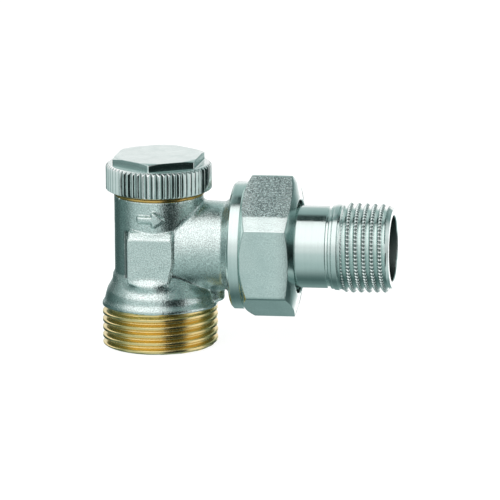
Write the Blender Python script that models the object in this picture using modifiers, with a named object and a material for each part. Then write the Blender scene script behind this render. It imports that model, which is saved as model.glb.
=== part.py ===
"""Angle radiator lockshield valve with a union tailpiece. Blender 4.5, metres, +Z up.

The inlet mouth is centred on the origin, the spindle axis is Z and the union axis runs along +X.
Dimensions below are in millimetres and are scaled by MM where they are used.
"""

import math

import bmesh
import bpy
from mathutils import Matrix

MM = 0.001

# Body
UNION_Z = 23.2
COLUMN_R = 10.15
BODY_TOP = 35.2
INLET_THREAD_R = 13.22
BRANCH_R = 10.1
BOSS_X = (-5.8, 4.6)
BOSS_FACE_Y = -10.95
BOSS_Z = (16.6, 26.8)
CHAMBER_R = 8.0
SEAT_Z = 17.0
SEAT_R = 5.4
BRANCH_BORE_R = 6.3
UNION_THREAD_R = 12.9
UNION_END_X = 26.6

# Bonnet, spindle and disc
FLANGE_R = 10.35
FLANGE_Z = (35.35, 35.85)
CAP_THREAD_R = 9.2
BONNET_TOP = 40.6
SPINDLE_THREAD_R = 5.3
SPINDLE_R = 4.3
SOCKET_AF = 5.0
TRAVEL = 3.0

# Cap
CAP_R = 12.1
CAP_BOTTOM = 36.0
CAP_TOP = 44.2
KNURL_COUNT = 60
KNURL_DEPTH = 0.42
CAP_HEX_AF = 19.0
CAP_HEX_TURN = -4.0

# Union nut and tailpiece
COLLAR_R = 14.4
NUT_X = (17.7, 20.3, 31.9)
NUT_AF = 29.1
NUT_TURN = 34.1
NUT_BORE_R = 13.15
NECK_R = 9.3
TAIL_THREAD_R = 10.25
TAIL_END_X = 53.5
TAIL_BORE_R = 7.5

ROUND = 44


def clear_scene():
    for obj in list(bpy.data.objects):
        bpy.data.objects.remove(obj, do_unlink=True)
    for group in list(bpy.data.collections):
        bpy.data.collections.remove(group)


def collection(name, hidden=False):
    group = bpy.data.collections.new(name)
    bpy.context.scene.collection.children.link(group)
    group.hide_render = hidden
    return group


def material(name, color, metallic, roughness):
    mat = bpy.data.materials.new(name)
    mat.use_nodes = True
    shader = mat.node_tree.nodes["Principled BSDF"]
    shader.inputs["Base Color"].default_value = (*color, 1.0)
    shader.inputs["Metallic"].default_value = metallic
    shader.inputs["Roughness"].default_value = roughness
    mat.diffuse_color = (*color, 1.0)
    return mat


def new_object(name, mesh, group, mat=None):
    obj = bpy.data.objects.new(name, mesh)
    group.objects.link(obj)
    if mat:
        mesh.materials.append(mat)
    if group is CUTTERS:
        obj.hide_render = True
        obj.display_type = "WIRE"
    return obj


def turned(name, profile, group, mat=None, closed=True, steps=ROUND, along_x=False, z0=0.0):
    """A profile of (radius, height) in millimetres, outer side first and downwards, turned about its axis."""
    mesh = bpy.data.meshes.new(name)
    points = [(r * MM, 0.0, h * MM) for r, h in profile]
    edges = [(i, i + 1) for i in range(len(points) - 1)]
    if closed:
        edges.append((len(points) - 1, 0))
    mesh.from_pydata(points, edges, [])
    obj = new_object(name, mesh, group, mat)
    screw = obj.modifiers.new("Turn", "SCREW")
    screw.axis = "Z"
    screw.angle = math.tau
    screw.steps = steps
    screw.render_steps = steps
    screw.use_merge_vertices = True
    screw.merge_threshold = 0.000001
    screw.use_smooth_shade = True
    if along_x:
        obj.rotation_euler = (0.0, math.pi / 2, 0.0)
    obj.location = (0.0, 0.0, z0 * MM)
    return obj


def prism(name, sides, corner_r, low, high, turn, group, mat=None, along_x=False, z0=0.0, waves=0.0):
    """A regular prism between two heights. With waves, every second corner is sunk by that much."""
    mesh = bpy.data.meshes.new(name)
    shape = bmesh.new()
    made = bmesh.ops.create_cone(
        shape,
        cap_ends=True,
        cap_tris=False,
        segments=sides,
        radius1=corner_r * MM,
        radius2=corner_r * MM,
        depth=(high - low) * MM,
    )
    if waves:
        for vert in made["verts"]:
            angle = math.atan2(vert.co.y, vert.co.x)
            step = round(angle / (math.tau / sides))
            if step % 2:
                vert.co.x *= (corner_r - waves) / corner_r
                vert.co.y *= (corner_r - waves) / corner_r
    bmesh.ops.rotate(shape, verts=shape.verts, cent=(0, 0, 0), matrix=Matrix.Rotation(math.radians(turn), 3, "Z"))
    bmesh.ops.translate(shape, verts=shape.verts, vec=(0, 0, (low + high) / 2 * MM))
    shape.to_mesh(mesh)
    shape.free()
    obj = new_object(name, mesh, group, mat)
    if along_x:
        obj.rotation_euler = (0.0, math.pi / 2, 0.0)
    obj.location = (0.0, 0.0, z0 * MM)
    return obj


def block(name, size, centre, group, mat=None, bevel=0.0, segments=2):
    mesh = bpy.data.meshes.new(name)
    shape = bmesh.new()
    bmesh.ops.create_cube(shape, size=1.0)
    bmesh.ops.scale(shape, verts=shape.verts, vec=[s * MM for s in size])
    shape.to_mesh(mesh)
    shape.free()
    obj = new_object(name, mesh, group, mat)
    obj.location = [c * MM for c in centre]
    if bevel:
        mod = obj.modifiers.new("Round edges", "BEVEL")
        mod.width = bevel * MM
        mod.segments = segments
        mod.limit_method = "ANGLE"
    return obj


def combine(obj, operation, other):
    mod = obj.modifiers.new(f"{operation.title()} {other.name}", "BOOLEAN")
    mod.operation = operation
    mod.solver = "EXACT"
    mod.object = other


def ring(centre_r, section_r, height, sides=8):
    """The closed profile of an O-ring."""
    return [
        (
            centre_r + section_r * math.cos(-math.tau * i / sides),
            height + section_r * math.sin(-math.tau * i / sides),
        )
        for i in range(sides)
    ]


def make_body(mat):
    body = turned(
        "valve_body",
        [
            (0.0, BODY_TOP),
            (COLUMN_R, BODY_TOP),
            (COLUMN_R, 17.5),
            (10.5, 16.8),
            (10.75, 15.6),
            (10.95, 14.7),
            (11.4, 14.0),
            (11.9, 13.3),
            (12.1, 12.5),
            (12.35, 11.4),
            (12.9, 10.5),
            (13.15, 9.9),
            (13.15, 9.3),
            (12.0, 9.0),
            (12.0, 8.4),
            (INLET_THREAD_R, 7.9),
            (INLET_THREAD_R, 1.75),
            (11.4, 0.0),
            (0.0, 0.0),
        ],
        PARTS,
        mat,
        closed=False,
    )
    branch = turned(
        "branch_outer",
        [
            (0.0, UNION_END_X),
            (12.2, UNION_END_X),
            (UNION_THREAD_R, UNION_END_X - 0.7),
            (UNION_THREAD_R, 19.0),
            (11.5, 18.4),
            (11.5, 17.2),
            (11.1, 16.6),
            (10.6, 15.7),
            (10.25, 14.6),
            (BRANCH_R, 13.4),
            (BRANCH_R, 0.0),
            (0.0, 0.0),
        ],
        CUTTERS,
        closed=False,
        along_x=True,
        z0=UNION_Z,
    )
    combine(body, "UNION", branch)
    web = block("branch_web", (9.0, 5.4, 6.0), (10.6, 0.0, 14.2), CUTTERS, bevel=1.6, segments=3)
    combine(body, "UNION", web)
    boss = block(
        "spanner_boss",
        (BOSS_X[1] - BOSS_X[0], 8.0, BOSS_Z[1] - BOSS_Z[0] + 1.8),
        ((BOSS_X[0] + BOSS_X[1]) / 2, BOSS_FACE_Y + 4.0, (BOSS_Z[0] + BOSS_Z[1] + 1.0) / 2),
        CUTTERS,
        bevel=0.8,
        segments=3,
    )
    combine(body, "UNION", boss)
    # Raised arrow on the column, pointing with the flow
    arrow = bpy.data.curves.new("flow_arrow", "CURVE")
    arrow.dimensions = "2D"
    arrow.fill_mode = "BOTH"
    arrow.extrude = 1.0 * MM
    spline = arrow.splines.new("POLY")
    outline = [(-2.7, -0.45), (0.5, -0.45), (0.5, -1.5), (2.8, 0.0), (0.5, 1.5), (0.5, 0.45), (-2.7, 0.45)]
    spline.points.add(len(outline) - 1)
    for point, (x, y) in zip(spline.points, outline):
        point.co = (x * MM, y * MM, 0.0, 1.0)
    spline.use_cyclic_u = True
    source = bpy.data.objects.new("flow_arrow_outline", arrow)
    CUTTERS.objects.link(source)
    source.rotation_euler = (math.pi / 2, 0.0, 0.0)
    source.location = (-0.6 * MM, -9.45 * MM, 30.9 * MM)
    bpy.context.view_layer.update()
    made = bpy.data.meshes.new_from_object(source.evaluated_get(bpy.context.evaluated_depsgraph_get()))
    weld = bmesh.new()
    weld.from_mesh(made)
    bmesh.ops.remove_doubles(weld, verts=weld.verts, dist=0.000001)
    bmesh.ops.recalc_face_normals(weld, faces=weld.faces)
    weld.to_mesh(made)
    weld.free()
    solid = new_object("flow_arrow", made, CUTTERS)
    solid.matrix_world = source.matrix_world
    bpy.data.objects.remove(source, do_unlink=True)
    combine(body, "UNION", solid)

    bore = turned(
        "inner_bore",
        [
            (0.0, BODY_TOP + 1.0),
            (9.75, BODY_TOP + 1.0),
            (9.75, 34.3),
            (8.9, 34.3),
            (8.9, 27.2),
            (CHAMBER_R, 26.6),
            (CHAMBER_R, SEAT_Z - 0.8),
            (SEAT_R + 1.1, SEAT_Z - 0.8),
            (SEAT_R + 0.8, SEAT_Z),
            (0.0, SEAT_Z),
        ],
        CUTTERS,
        closed=False,
        steps=36,
    )
    combine(body, "DIFFERENCE", bore)
    inlet = turned(
        "inlet_bore",
        [
            (0.0, SEAT_Z + 0.5),
            (SEAT_R, SEAT_Z + 0.5),
            (SEAT_R, 14.4),
            (7.0, 12.8),
            (7.0, 6.2),
            (7.6, 6.0),
            (9.3, -0.2),
            (9.3, -1.0),
            (0.0, -1.0),
        ],
        CUTTERS,
        closed=False,
        steps=36,
    )
    combine(body, "DIFFERENCE", inlet)
    outlet = turned(
        "outlet_bore",
        [
            (0.0, UNION_END_X + 1.0),
            (9.6, UNION_END_X + 1.0),
            (9.6, UNION_END_X),
            (7.9, 23.4),
            (BRANCH_BORE_R, 22.2),
            (BRANCH_BORE_R, 3.0),
            (0.0, 3.0),
        ],
        CUTTERS,
        closed=False,
        steps=36,
        along_x=True,
        z0=UNION_Z,
    )
    combine(body, "DIFFERENCE", outlet)
    return body


def make_bonnet(mat, seal_mat):
    turned(
        "bonnet",
        [
            (SPINDLE_R + 0.9, BONNET_TOP),
            (CAP_THREAD_R - 0.4, BONNET_TOP),
            (CAP_THREAD_R, BONNET_TOP - 0.4),
            (CAP_THREAD_R, 37.0),
            (8.5, 36.6),
            (8.5, FLANGE_Z[1]),
            (FLANGE_R, FLANGE_Z[1]),
            (FLANGE_R, FLANGE_Z[0]),
            (8.2, FLANGE_Z[0]),
            (8.2, 34.0),
            (8.65, 33.6),
            (8.65, 28.1),
            (8.2, 27.6),
            (SPINDLE_THREAD_R + 0.2, 27.6),
            (SPINDLE_THREAD_R + 0.2, 32.3),
            (SPINDLE_R + 0.2, 32.6),
            (SPINDLE_R + 0.2, 39.3),
            (SPINDLE_R + 0.8, 39.3),
            (SPINDLE_R + 0.8, 40.15),
            (SPINDLE_R + 0.35, 40.15),
            (SPINDLE_R + 0.35, 40.3),
        ],
        PARTS,
        mat,
        steps=36,
    )
    turned("bonnet_seal", ring(9.1, 0.42, 34.82), PARTS, seal_mat, steps=32)


def make_spindle(steel, seal_mat):
    spindle = turned(
        "spindle",
        [
            (0.0, 38.2),
            (3.3, 38.2),
            (3.6, 37.9),
            (3.6, 36.2),
            (4.0, 36.2),
            (SPINDLE_R, 35.9),
            (SPINDLE_R, 35.5),
            (3.7, 35.5),
            (3.7, 34.3),
            (SPINDLE_R, 34.3),
            (SPINDLE_R, 33.8),
            (3.7, 33.8),
            (3.7, 32.6),
            (SPINDLE_R, 32.6),
            (SPINDLE_R, 29.4),
            (SPINDLE_THREAD_R - 0.3, 29.3),
            (SPINDLE_THREAD_R, 29.0),
            (SPINDLE_THREAD_R, 24.6),
            (SPINDLE_THREAD_R - 0.3, 24.3),
            (2.0, 24.3),
            (2.0, 22.3),
            (3.1, 22.3),
            (3.1, 20.9),
            (0.0, 20.9),
        ],
        PARTS,
        steel,
        closed=False,
        steps=30,
    )
    socket = prism("spindle_socket", 6, SOCKET_AF / math.sqrt(3), 33.2, 39.0, 0.0, CUTTERS)
    combine(spindle, "DIFFERENCE", socket)
    turned("spindle_o_ring_upper", ring(4.1, 0.32, 34.9, 8), PARTS, seal_mat, steps=24)
    turned("spindle_o_ring_lower", ring(4.1, 0.32, 33.2, 8), PARTS, seal_mat, steps=24)
    stop = turned(
        "spindle_stop_ring",
        [(4.98, 40.0), (4.98, 39.45), (3.85, 39.45), (3.85, 40.0)],
        PARTS,
        steel,
        steps=28,
    )
    slit = block("stop_ring_slit", (3.0, 1.0, 2.0), (4.4, 0.0, 39.7), CUTTERS)
    combine(stop, "DIFFERENCE", slit)


def make_disc(brass, steel, seal_mat):
    turned(
        "valve_disc",
        [
            (4.7, 23.5),
            (5.0, 23.3),
            (5.0, 20.9),
            (6.7, 20.5),
            (7.0, 20.2),
            (7.0, 17.9),
            (6.45, 17.9),
            (6.45, 19.2),
            (1.7, 19.2),
            (1.7, 20.6),
            (3.35, 20.6),
            (3.35, 22.45),
            (4.15, 22.45),
            (4.15, 23.15),
            (3.5, 23.15),
            (3.5, 23.5),
        ],
        PARTS,
        brass,
        steps=28,
    )
    clip = turned("disc_clip", [(4.0, 23.05), (4.0, 22.55), (2.3, 22.55), (2.3, 23.05)], PARTS, steel, steps=24)
    slit = block("disc_clip_slit", (3.4, 4.0, 2.0), (3.9, 0.0, 22.8), CUTTERS)
    combine(clip, "DIFFERENCE", slit)
    turned(
        "disc_seal",
        [(6.1, 19.05), (6.3, 18.85), (6.3, 17.3), (6.1, 17.1), (1.75, 17.1), (1.75, 19.05)],
        PARTS,
        seal_mat,
        steps=28,
    )
    turned("disc_washer", [(3.7, 16.95), (3.8, 16.85), (3.8, 16.45), (1.75, 16.45), (1.75, 16.95)], PARTS, steel, steps=24)
    screw = turned(
        "disc_screw",
        [(0.0, 20.3), (1.3, 20.3), (1.5, 20.1), (1.5, 16.3), (2.7, 16.3), (2.7, 15.3), (2.4, 15.0), (0.0, 15.0)],
        PARTS,
        steel,
        closed=False,
        steps=20,
    )
    slot = block("disc_screw_slot", (7.0, 0.8, 1.2), (0.0, 0.0, 15.0), CUTTERS)
    combine(screw, "DIFFERENCE", slot)


def make_cap(nickel, seal_mat):
    cap = turned(
        "protective_cap",
        [
            (0.0, 42.6),
            (10.6, 42.6),
            (10.9, 42.3),
            (CAP_R + 0.25, 41.2),
            (CAP_R + 0.25, CAP_BOTTOM + 0.76),
            (10.6, CAP_BOTTOM),
            (0.0, CAP_BOTTOM),
        ],
        PARTS,
        nickel,
        closed=False,
        steps=60,
    )
    knurl = prism(
        "cap_knurl", 2 * KNURL_COUNT, CAP_R, CAP_BOTTOM - 1.0, CAP_TOP + 1.0, 1.5, CUTTERS, waves=KNURL_DEPTH
    )
    combine(cap, "INTERSECT", knurl)
    plate = prism("cap_hexagon", 6, CAP_HEX_AF / math.sqrt(3), 42.0, CAP_TOP, CAP_HEX_TURN, CUTTERS)
    chamfer = turned(
        "cap_hexagon_chamfer",
        [(0.0, CAP_TOP + 0.5), (9.3, CAP_TOP + 0.5), (9.75, CAP_TOP), (12.2, 43.2), (12.2, 41.0), (0.0, 41.0)],
        CUTTERS,
        closed=False,
    )
    combine(plate, "INTERSECT", chamfer)
    combine(cap, "UNION", plate)
    hollow = turned(
        "cap_hollow",
        [
            (0.0, 42.0),
            (9.45, 42.0),
            (9.45, 37.0),
            (9.75, 36.5),
            (9.75, CAP_BOTTOM - 1.0),
            (0.0, CAP_BOTTOM - 1.0),
        ],
        CUTTERS,
        closed=False,
        steps=36,
    )
    combine(cap, "DIFFERENCE", hollow)
    turned("cap_seal", [(9.2, 41.8), (9.2, 40.9), (6.6, 40.9), (6.6, 41.8)], PARTS, seal_mat, steps=32)


def make_union(nickel, seal_mat):
    nut = prism(
        "union_nut",
        6,
        NUT_AF / math.sqrt(3),
        NUT_X[1] - 0.2,
        NUT_X[2] + 0.6,
        NUT_TURN,
        PARTS,
        nickel,
        along_x=True,
        z0=UNION_Z,
    )
    ends = turned(
        "nut_chamfers",
        [
            (0.0, NUT_X[2]),
            (10.9, NUT_X[2]),
            (NUT_AF / 2, 31.1),
            (18.0, 29.9),
            (18.0, NUT_X[1] + 2.0),
            (NUT_AF / 2, NUT_X[1]),
            (0.0, NUT_X[1]),
        ],
        CUTTERS,
        closed=False,
        along_x=True,
        z0=UNION_Z,
    )
    combine(nut, "INTERSECT", ends)
    collar = turned(
        "nut_collar",
        [
            (0.0, NUT_X[1] + 0.3),
            (COLLAR_R - 0.35, NUT_X[1] + 0.3),
            (COLLAR_R - 0.35, NUT_X[1] - 0.05),
            (COLLAR_R, NUT_X[1] - 0.4),
            (COLLAR_R, NUT_X[0] + 0.5),
            (COLLAR_R - 0.5, NUT_X[0]),
            (0.0, NUT_X[0]),
        ],
        CUTTERS,
        closed=False,
        along_x=True,
        z0=UNION_Z,
    )
    combine(nut, "UNION", collar)
    hollow = turned(
        "nut_hollow",
        [
            (0.0, NUT_X[2] + 1.0),
            (10.6, NUT_X[2] + 1.0),
            (10.6, 29.2),
            (NUT_BORE_R, 29.2),
            (NUT_BORE_R, NUT_X[0] - 1.0),
            (0.0, NUT_X[0] - 1.0),
        ],
        CUTTERS,
        closed=False,
        along_x=True,
        z0=UNION_Z,
        steps=36,
    )
    combine(nut, "DIFFERENCE", hollow)

    thread_x = 41.3
    tail = turned(
        "tailpiece",
        [
            (TAIL_BORE_R, TAIL_END_X - 0.5),
            (TAIL_BORE_R + 0.5, TAIL_END_X),
            (8.9, TAIL_END_X),
            (TAIL_THREAD_R - 0.75, TAIL_END_X - 1.1),
            (TAIL_THREAD_R, thread_x),
            (9.2, thread_x),
            (9.2, thread_x - 0.5),
            (10.0, thread_x - 0.6),
            (10.0, 39.7),
            (9.45, 39.4),
            (NECK_R, 38.6),
            (NECK_R, 30.0),
            (10.2, 29.0),
            (12.6, 29.0),
            (12.8, 28.8),
            (12.8, 27.0),
            (12.6, 26.8),
            (9.4, 26.8),
            (9.1, 26.4),
            (8.75, 25.8),
            (7.82, 25.6),
            (7.75, 24.45),
            (8.1, 24.2),
            (7.6, 23.4),
            (6.5, 23.1),
            (6.5, 24.0),
            (TAIL_BORE_R, 27.0),
        ],
        PARTS,
        nickel,
        along_x=True,
        z0=UNION_Z,
    )
    # Two driving lugs in the bore, for the stepped key that screws the tailpiece in
    for side, name in ((1, "tail_lug_upper"), (-1, "tail_lug_lower")):
        lug = block(name, (5.0, 2.4, 1.7), (48.4, 0.0, UNION_Z + side * 7.15), CUTTERS, bevel=0.3, segments=1)
        combine(tail, "UNION", lug)
    turned("union_o_ring", ring(8.25, 0.37, 25.0, 8), PARTS, seal_mat, along_x=True, z0=UNION_Z, steps=32)


clear_scene()
PARTS = collection("radiator_valve")
CUTTERS = collection("cutters", hidden=True)

blasted_nickel = material("blasted_nickel", (0.62, 0.66, 0.65), 0.9, 0.45)
nickel_cap = material("nickel_cap", (0.66, 0.7, 0.69), 0.95, 0.3)
polished_nickel = material("polished_nickel", (0.66, 0.7, 0.7), 1.0, 0.2)
polished_tail = material("polished_tail", (0.66, 0.7, 0.7), 1.0, 0.22)
brass = material("brass", (0.72, 0.52, 0.24), 1.0, 0.3)
disc_brass = material("disc_brass", (0.72, 0.52, 0.24), 1.0, 0.35)
steel = material("steel", (0.6, 0.6, 0.6), 1.0, 0.35)
rubber = material("rubber", (0.03, 0.03, 0.03), 0.0, 0.7)

make_body(blasted_nickel)
make_bonnet(brass, rubber)
make_spindle(steel, rubber)
make_disc(disc_brass, steel, rubber)
make_cap(nickel_cap, rubber)
make_union(polished_nickel, rubber)
bpy.data.objects["tailpiece"].data.materials[0] = polished_tail
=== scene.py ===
"""Angle radiator lockshield valve: the looks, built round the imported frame. Metres in the scene, millimetres in the shape functions."""

import math

import bmesh
import bpy
import numpy as np
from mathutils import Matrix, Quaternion, Vector, noise


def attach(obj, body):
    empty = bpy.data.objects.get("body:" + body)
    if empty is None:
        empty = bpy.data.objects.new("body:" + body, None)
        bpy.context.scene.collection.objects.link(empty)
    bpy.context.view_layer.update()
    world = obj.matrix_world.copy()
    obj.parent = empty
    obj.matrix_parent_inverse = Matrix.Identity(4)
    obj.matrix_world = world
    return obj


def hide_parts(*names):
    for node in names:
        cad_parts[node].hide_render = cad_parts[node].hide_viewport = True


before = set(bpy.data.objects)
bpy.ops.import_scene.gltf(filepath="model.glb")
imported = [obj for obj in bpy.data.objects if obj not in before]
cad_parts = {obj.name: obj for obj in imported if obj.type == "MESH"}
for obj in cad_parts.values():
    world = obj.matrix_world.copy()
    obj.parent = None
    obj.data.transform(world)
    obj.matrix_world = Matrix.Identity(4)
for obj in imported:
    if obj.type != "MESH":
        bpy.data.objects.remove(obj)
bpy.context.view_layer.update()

MM = 0.001
TAU = math.tau
UZ = 23.2  # height of the union axis


# ---------------------------------------------------------------- profiles and surfaces of revolution


def rounded(points, closed=True, step=12.0):
    """A polyline of (r, h) or (r, h, fillet) with each corner rounded by its fillet radius."""
    n = len(points)
    out = []
    for i, p in enumerate(points):
        here = np.array(p[:2], float)
        radius = p[2] if len(p) > 2 else 0.0
        if radius <= 0 or (not closed and i in (0, n - 1)):
            out.append(tuple(here))
            continue
        a = np.array(points[i - 1][:2], float) - here
        b = np.array(points[(i + 1) % n][:2], float) - here
        la, lb = np.linalg.norm(a), np.linalg.norm(b)
        a, b = a / la, b / lb
        inner = math.acos(max(-1.0, min(1.0, float(a @ b))))
        turn = math.pi - inner
        if turn < 0.02:
            out.append(tuple(here))
            continue
        reach = min(radius / math.tan(inner / 2), 0.49 * la, 0.49 * lb)
        radius = reach * math.tan(inner / 2)
        middle = here + (a + b) / np.linalg.norm(a + b) * (radius / math.sin(inner / 2))
        first, last = here + a * reach, here + b * reach
        count = max(2, int(math.ceil(math.degrees(turn) / step)))
        u, v = first - middle, last - middle
        sweep = math.atan2(u[0] * v[1] - u[1] * v[0], float(u @ v))
        for k in range(count + 1):
            t = sweep * k / count
            c, s = math.cos(t), math.sin(t)
            out.append((middle[0] + u[0] * c - u[1] * s, middle[1] + u[0] * s + u[1] * c))
    return out


def finish_mesh(name, points, faces, slots=None, mats=(), sharp=32.0, smooth=True):
    """An object from points in millimetres, with its faces turned outwards."""
    points = np.asarray(points, float)
    faces = [tuple(f) for f in faces]
    volume = 0.0
    corner = points[[f[0] for f in faces]]
    for k in (1, 2):
        has = np.array([len(f) > k + 1 for f in faces])
        b = points[[f[k] if len(f) > k + 1 else f[0] for f in faces]]
        c = points[[f[k + 1] if len(f) > k + 1 else f[0] for f in faces]]
        volume += float((np.cross(b, c) * corner).sum(1)[has].sum())
    if volume < 0:
        faces = [f[::-1] for f in faces]
    mesh = bpy.data.meshes.new(name)
    mesh.from_pydata((points * MM).tolist(), [], faces)
    for mat in mats:
        mesh.materials.append(mat)
    if slots is not None:
        mesh.polygons.foreach_set("material_index", np.asarray(slots, np.int32))
    mesh.validate()
    if smooth:
        mesh.shade_smooth()
        mesh.set_sharp_from_angle(angle=math.radians(sharp))
    mesh.update()
    obj = bpy.data.objects.new(name, mesh)
    bpy.context.scene.collection.objects.link(obj)
    return obj


def place(radius, height, angle, axis, z0):
    """Points of a surface round the Z axis, or round the union axis along X."""
    c, s = np.cos(angle), np.sin(angle)
    if axis == "Z":
        return np.stack([radius * c, radius * s, height + 0 * radius], -1)
    return np.stack([height + 0 * radius, radius * c, z0 + radius * s], -1)


def revolve(name, radius, height, cols, mats, axis="Z", z0=UZ, closed=True, row_mats=None, sharp=32.0):
    """A surface from rows of (radius, height), each a number or one value per column. Rows of zero radius at the ends are poles."""
    rows = len(radius)
    angle = np.arange(cols) * TAU / cols
    R = np.array([np.broadcast_to(r, cols) for r in radius], float)
    H = np.array([np.broadcast_to(h, cols) for h in height], float)
    points, index = [], np.zeros((rows, cols), int)
    count = 0
    for i in range(rows):
        if np.all(R[i] < 1e-9):
            points.append(place(np.zeros(1), H[i][:1], np.zeros(1), axis, z0))
            index[i] = count
            count += 1
        else:
            points.append(place(R[i], H[i], angle, axis, z0))
            index[i] = np.arange(count, count + cols)
            count += cols
    points = np.concatenate(points)
    faces, slots = [], []
    last = rows if closed else rows - 1
    for i in range(last):
        a, b = index[i], index[(i + 1) % rows]
        a2, b2 = np.roll(a, -1), np.roll(b, -1)
        slot = row_mats[i] if row_mats is not None else 0
        if a[0] == a[-1] and b[0] == b[-1]:
            continue
        if a[0] == a[-1]:
            faces += list(zip(a.tolist(), b2.tolist(), b.tolist()))
        elif b[0] == b[-1]:
            faces += list(zip(a.tolist(), a2.tolist(), b.tolist()))
        else:
            faces += list(zip(a.tolist(), a2.tolist(), b2.tolist(), b.tolist()))
        slots += [slot] * cols
    return finish_mesh(name, points, faces, slots, mats, sharp)


def turned(name, profile, mats, cols=160, axis="Z", z0=UZ, closed=True, slots=None):
    """A turned part from a profile in which a third number rounds the corner."""
    line = rounded(profile, closed)
    return revolve(name, [p[0] for p in line], [p[1] for p in line], cols, mats, axis, z0, closed, slots)


def hexagon_radius(angle, apothem, first_corner, corner_radius):
    """Radius of a hexagon with rounded corners, at each angle."""
    off = (angle - first_corner + TAU / 12) % (TAU / 6) - TAU / 12  # from the nearest corner
    flat = apothem / np.cos(TAU / 12 - np.abs(off))
    centre = (apothem - corner_radius) / math.cos(TAU / 12)
    limit = math.atan2(corner_radius * 0.5, centre + corner_radius * math.cos(TAU / 12))
    inside = np.clip(corner_radius**2 - (centre * np.sin(off)) ** 2, 0, None)
    arc = centre * np.cos(off) + np.sqrt(inside)
    return np.where(np.abs(off) < limit, arc, flat)


def helical(name, before, after, start, end, radius_at, pitch, cols, per_pitch, mats, axis="Z", z0=UZ, sharp=32.0, slot_at=None, thread_slot=0):
    """A turned part with a screw thread between two heights. The mesh follows the thread: each row is a helix, and the last
    point of a row is the first point of the row one pitch on. before and after are profile points of the plain surfaces,
    going round from the end of the thread back to its start."""
    angle = np.arange(cols) * TAU / cols
    first = start - pitch * 1.02
    rows = int(math.ceil((end - first) / pitch * per_pitch)) + 2
    points = []
    low = np.full(cols, start)
    high = np.full(cols, end)
    points.append(place(radius_at(low, angle), low, angle, axis, z0))
    points.append(place(radius_at(high, angle), high, angle, axis, z0))
    count = 2 * cols
    index = np.zeros((rows + 1, cols + 1), int)
    for g in range(rows + 1):
        h = first + pitch * g / per_pitch + pitch * angle / TAU
        inside = (h > start + pitch / per_pitch * 0.02) & (h < end - pitch / per_pitch * 0.02)
        ids = np.where(h < (start + end) / 2, np.arange(cols), cols + np.arange(cols))
        ids[inside] = count + np.arange(int(inside.sum()))
        count += int(inside.sum())
        if inside.any():
            points.append(place(radius_at(h[inside], angle[inside]), h[inside], angle[inside], axis, z0))
        index[g, :cols] = ids
    for g in range(rows + 1):
        index[g, cols] = index[g + per_pitch, 0] if g + per_pitch <= rows else cols
    faces, slot = [], []
    for g in range(rows):
        a, b = index[g, :-1], index[g, 1:]
        c, d = index[g + 1, 1:], index[g + 1, :-1]
        for q in zip(a.tolist(), b.tolist(), c.tolist(), d.tolist()):
            q = tuple(dict.fromkeys(q))
            if len(q) > 2:
                faces.append(q)
                slot.append(thread_slot)
    line = rounded(before + after, closed=False)
    prev = cols + np.arange(cols)
    n_before = len(line)
    for k, (r, h) in enumerate(line):
        ring_ids = count + np.arange(cols)
        points.append(place(np.full(cols, r), np.full(cols, h), angle, axis, z0))
        count += cols
        for q in zip(prev.tolist(), np.roll(prev, -1).tolist(), np.roll(ring_ids, -1).tolist(), ring_ids.tolist()):
            faces.append(q)
            slot.append(slot_at(r, h) if slot_at else 0)
        prev = ring_ids
    ring_ids = np.arange(cols)
    for q in zip(prev.tolist(), np.roll(prev, -1).tolist(), np.roll(ring_ids, -1).tolist(), ring_ids.tolist()):
        faces.append(q)
        slot.append(0)
    return finish_mesh(name, np.concatenate(points), faces, slot, mats, sharp)


# ---------------------------------------------------------------- distance fields, for the forging


def outline_distance(outline, px, py):
    """Signed distance from points to a closed outline, negative inside."""
    best = np.full(px.shape, 1e9)
    inside = np.zeros(px.shape, bool)
    n = len(outline)
    for i in range(n):
        ax, ay = outline[i]
        bx, by = outline[(i + 1) % n]
        ex, ey = bx - ax, by - ay
        length = ex * ex + ey * ey
        if length < 1e-14:
            continue
        t = np.clip(((px - ax) * ex + (py - ay) * ey) / length, 0, 1)
        best = np.minimum(best, (px - ax - t * ex) ** 2 + (py - ay - t * ey) ** 2)
        if ay != by:
            crosses = ((ay > py) != (by > py)) & (px < ex * (py - ay) / ey + ax)
            inside ^= crosses
    best = np.sqrt(best)
    return np.where(inside, -best, best)


class Outline:
    """A table of distances to an outline, read by bilinear interpolation."""

    def __init__(self, points, box, step=0.08):
        line = rounded(points, True, 9.0)
        self.x0, self.y0, self.step = box[0], box[1], step
        nx = int((box[2] - box[0]) / step) + 2
        ny = int((box[3] - box[1]) / step) + 2
        gx, gy = np.meshgrid(box[0] + step * np.arange(nx), box[1] + step * np.arange(ny), indexing="ij")
        self.table = outline_distance(line, gx, gy).astype(np.float32)

    def at(self, x, y):
        u = np.clip((x - self.x0) / self.step, 0, self.table.shape[0] - 1.001)
        v = np.clip((y - self.y0) / self.step, 0, self.table.shape[1] - 1.001)
        i, j = u.astype(np.int32), v.astype(np.int32)
        u, v = u - i, v - j
        t = self.table
        return (t[i, j] * (1 - u) + t[i + 1, j] * u) * (1 - v) + (t[i, j + 1] * (1 - u) + t[i + 1, j + 1] * u) * v


def join(a, b, k):
    """Union with a soft fillet."""
    h = np.clip(0.5 + 0.5 * (b - a) / k, 0, 1)
    return b * (1 - h) + a * h - k * h * (1 - h)


def both(a, b, k):
    """What two shapes share, with a small rounding."""
    return -join(-a, -b, k)


def cut(a, b, k):
    """a without b, with a small rounding."""
    return -join(-a, b, k)


def block(x, y, z, half, radius):
    qx, qy, qz = np.abs(x) - half[0] + radius, np.abs(y) - half[1] + radius, np.abs(z) - half[2] + radius
    out = np.sqrt(np.maximum(qx, 0) ** 2 + np.maximum(qy, 0) ** 2 + np.maximum(qz, 0) ** 2)
    return out + np.minimum(np.maximum(qx, np.maximum(qy, qz)), 0) - radius


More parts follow.
